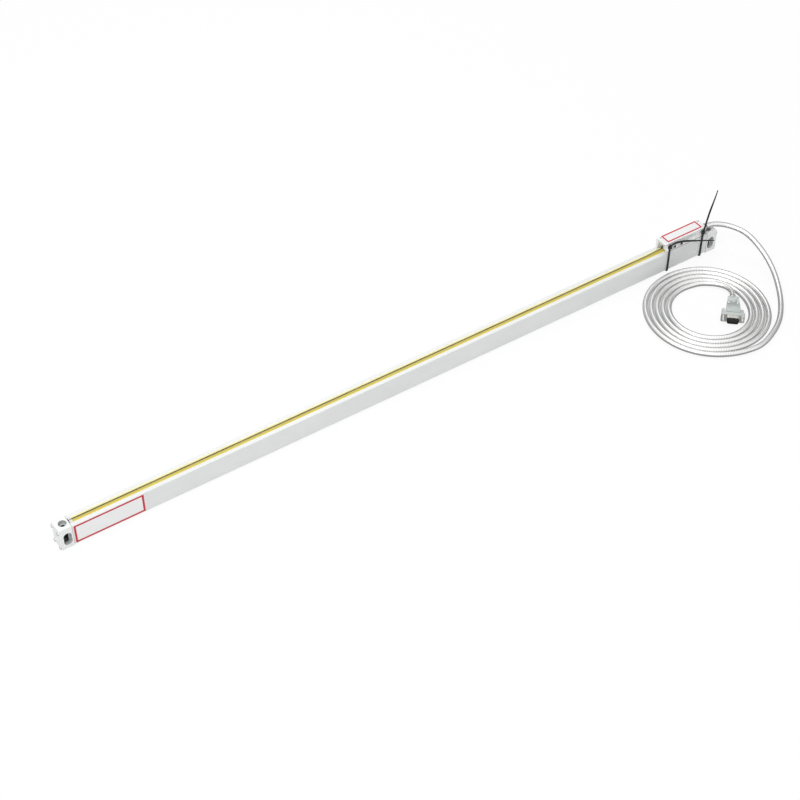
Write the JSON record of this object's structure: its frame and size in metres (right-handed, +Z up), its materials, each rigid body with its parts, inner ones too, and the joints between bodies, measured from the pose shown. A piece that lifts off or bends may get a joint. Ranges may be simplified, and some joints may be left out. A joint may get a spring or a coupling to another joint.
{
  "type": "sealed linear glass scale",
  "caption": "Slim sealed linear encoder with a sliding reading head, armoured cable and D-sub plug, held by end blocks.",
  "frame": {"origin": "midway between the two vertical mounting holes, on the plane under the end blocks", "axes": "+X along the scale to the end where the cable leaves, -Y out of the front face, +Z up through the mounting holes and the lips"},
  "size_m": [1.0246, 0.2076, 0.1123],
  "materials": {
    "housing": "anodised extrusion, fine lengthwise brushing",
    "end_block": "die-cast, satin",
    "gasket": "dark sealing sheet",
    "screw": "zinc-plated",
    "lip": "pale yellow flexible plastic, smooth",
    "glass": "float glass with a fine grating",
    "bedding": "cured elastic adhesive",
    "head": "cast, satin",
    "blade": "dark spring steel",
    "board": "green circuit board",
    "chip": "black moulded packages",
    "ribbon": "amber polyimide flat cable",
    "carriage": "cast, satin",
    "steel": "ground",
    "lens": "clear moulded lens",
    "ferrule": "nickel-plated, turned",
    "armour": "interlocked stainless armour, satin, fine rings",
    "core": "black inner sheath",
    "hood": "light grey moulded hood",
    "shell": "tin-plated, dimpled sheet",
    "insulator": "black",
    "pin": "gold-plated",
    "tie": "black nylon"
  },
  "bodies": {
    "scale": {"housing": "housing", "end_block_left": "end_block", "end_block_right": "end_block", "end_gasket_left": "gasket", "end_gasket_right": "gasket", "end_screws_left": "screw", "end_screws_right": "screw", "seal_lip_front": "lip", "seal_lip_back": "lip", "glass_scale": "glass", "glass_bedding": "bedding"},
    "reader": {"head_body": "head", "head_cover": "head", "head_end_cap": "head", "end_cap_screws": "screw", "blade_screws": "screw", "neck_blade": "blade", "signal_board": "board", "board_chips": "chip", "ribbon": "ribbon", "carriage_frame": "carriage", "face_axles": "steel", "edge_axles": "steel", "coupling_wire": "steel", "lamp_board": "board", "lamp_lens": "lens", "receiver_board": "board", "receiver_block": "chip", "index_glass": "glass", "cable_ferrule": "ferrule", "cable_core": "core", "cable_lead": "armour", "cable_coil": "armour", "cable_tail": "armour", "hood_upper": "hood", "hood_lower": "hood", "hood_screws": "screw", "dsub_shell": "shell", "dsub_insulator": "insulator", "dsub_pins": "pin", "cable_tie_left": "tie", "cable_tie_right": "tie"},
    "face_roller_left": {"face_roller_left": "steel"},
    "face_roller_right": {"face_roller_right": "steel"},
    "face_roller_low": {"face_roller_low": "steel"},
    "edge_roller_left": {"edge_roller_left": "steel"},
    "edge_roller_right": {"edge_roller_right": "steel"},
    "thumbscrew_left": {"thumbscrew_left": "screw"},
    "thumbscrew_right": {"thumbscrew_right": "screw"}
  },
  "joints": [
    {"name": "scale_slide", "type": "slide", "parent": "scale", "child": "reader", "axis": [1, 0, 0], "range_m": [-0.865, 0]},
    {"name": "face_roller_left_spin", "type": "hinge", "parent": "reader", "child": "face_roller_left", "pos_m": [0.413, -0.00145, 0.016], "axis": [0, 0, 1], "continuous": true},
    {"name": "face_roller_right_spin", "type": "hinge", "parent": "reader", "child": "face_roller_right", "pos_m": [0.463, -0.00145, 0.016], "axis": [0, 0, 1], "continuous": true},
    {"name": "face_roller_low_spin", "type": "hinge", "parent": "reader", "child": "face_roller_low", "pos_m": [0.421, -0.00145, 0.0115], "axis": [0, 0, 1], "continuous": true},
    {"name": "edge_roller_left_spin", "type": "hinge", "parent": "reader", "child": "edge_roller_left", "pos_m": [0.42, 0.0024, 0.02265], "axis": [0, 1, 0], "continuous": true},
    {"name": "edge_roller_right_spin", "type": "hinge", "parent": "reader", "child": "edge_roller_right", "pos_m": [0.456, 0.0024, 0.02265], "axis": [0, 1, 0], "continuous": true},
    {"name": "thumbscrew_left_turn", "type": "hinge", "parent": "reader", "child": "thumbscrew_left", "pos_m": [0.40995, -0.12443, 0.0075], "axis": [-0.6626, -0.749, 0], "continuous": true},
    {"name": "thumbscrew_right_turn", "type": "hinge", "parent": "reader", "child": "thumbscrew_right", "pos_m": [0.42867, -0.141, 0.0075], "axis": [-0.6626, -0.749, 0], "continuous": true}
  ],
  "couplings": [
    {"joint": "face_roller_left_spin", "follows": "scale_slide", "rad_per_m": 400},
    {"joint": "face_roller_right_spin", "follows": "scale_slide", "rad_per_m": 400},
    {"joint": "face_roller_low_spin", "follows": "scale_slide", "rad_per_m": 400},
    {"joint": "edge_roller_left_spin", "follows": "scale_slide", "rad_per_m": 434.78},
    {"joint": "edge_roller_right_spin", "follows": "scale_slide", "rad_per_m": 434.78}
  ]
}
